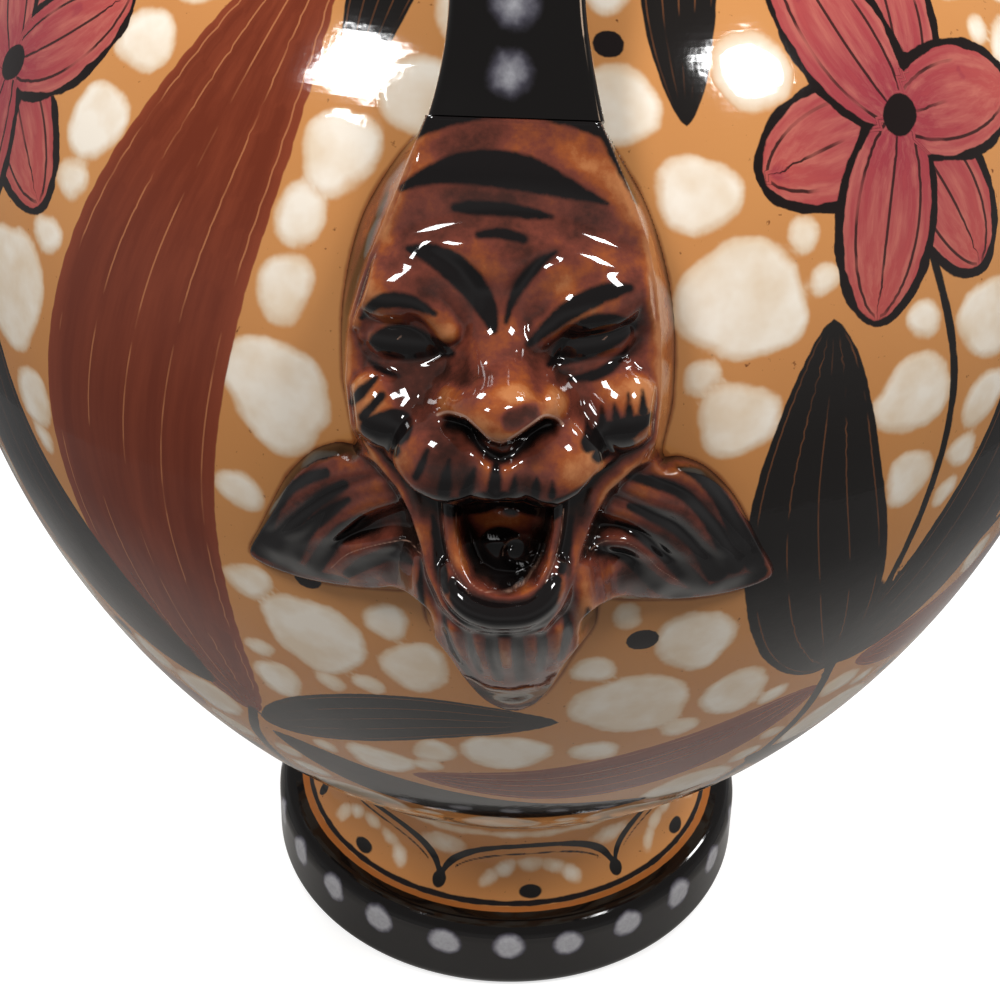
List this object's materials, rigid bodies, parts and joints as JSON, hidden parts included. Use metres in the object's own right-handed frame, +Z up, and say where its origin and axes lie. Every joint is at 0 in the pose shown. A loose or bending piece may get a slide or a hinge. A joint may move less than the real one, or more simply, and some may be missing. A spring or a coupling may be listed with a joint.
{
  "type": "two-handled vase",
  "caption": "Footed round-bellied vase with a narrow neck, a flared lip and strap handles that end in snarling cat masks; holds cut flowers.",
  "frame": {"origin": "centre of the foot's resting ring, on the surface that the vase stands on", "axes": "+Z up the vase's axis; the front handle and its mask are at -Y, the back handle at +Y"},
  "size_m": [0.2248, 0.271, 0.33],
  "materials": {
    "ochre_glaze": "ochre earthenware ground painted with leaves and blossoms under a clear gloss glaze",
    "black_glaze": "near-black slip with grey dots under a clear gloss glaze",
    "treacle_glaze": "treacle-brown gloss glaze with black brush strokes",
    "dark_treacle_glaze": "pooled dark brown gloss glaze"
  },
  "bodies": {
    "root": {"foot_ring": "black_glaze", "stem": "ochre_glaze", "body_lower": "ochre_glaze", "body_upper": "ochre_glaze", "neck": "ochre_glaze", "lip": "black_glaze", "strap_front": "black_glaze", "mask_face_front": "treacle_glaze", "mask_jaw_front": "dark_treacle_glaze", "mask_tongue_front": "dark_treacle_glaze", "mask_beard_front": "treacle_glaze", "mask_ruff_left_front": "treacle_glaze", "mask_ruff_right_front": "treacle_glaze", "strap_back": "black_glaze", "mask_face_back": "treacle_glaze", "mask_jaw_back": "dark_treacle_glaze", "mask_tongue_back": "dark_treacle_glaze", "mask_beard_back": "treacle_glaze", "mask_ruff_left_back": "treacle_glaze", "mask_ruff_right_back": "treacle_glaze"}
  },
  "joints": []
}
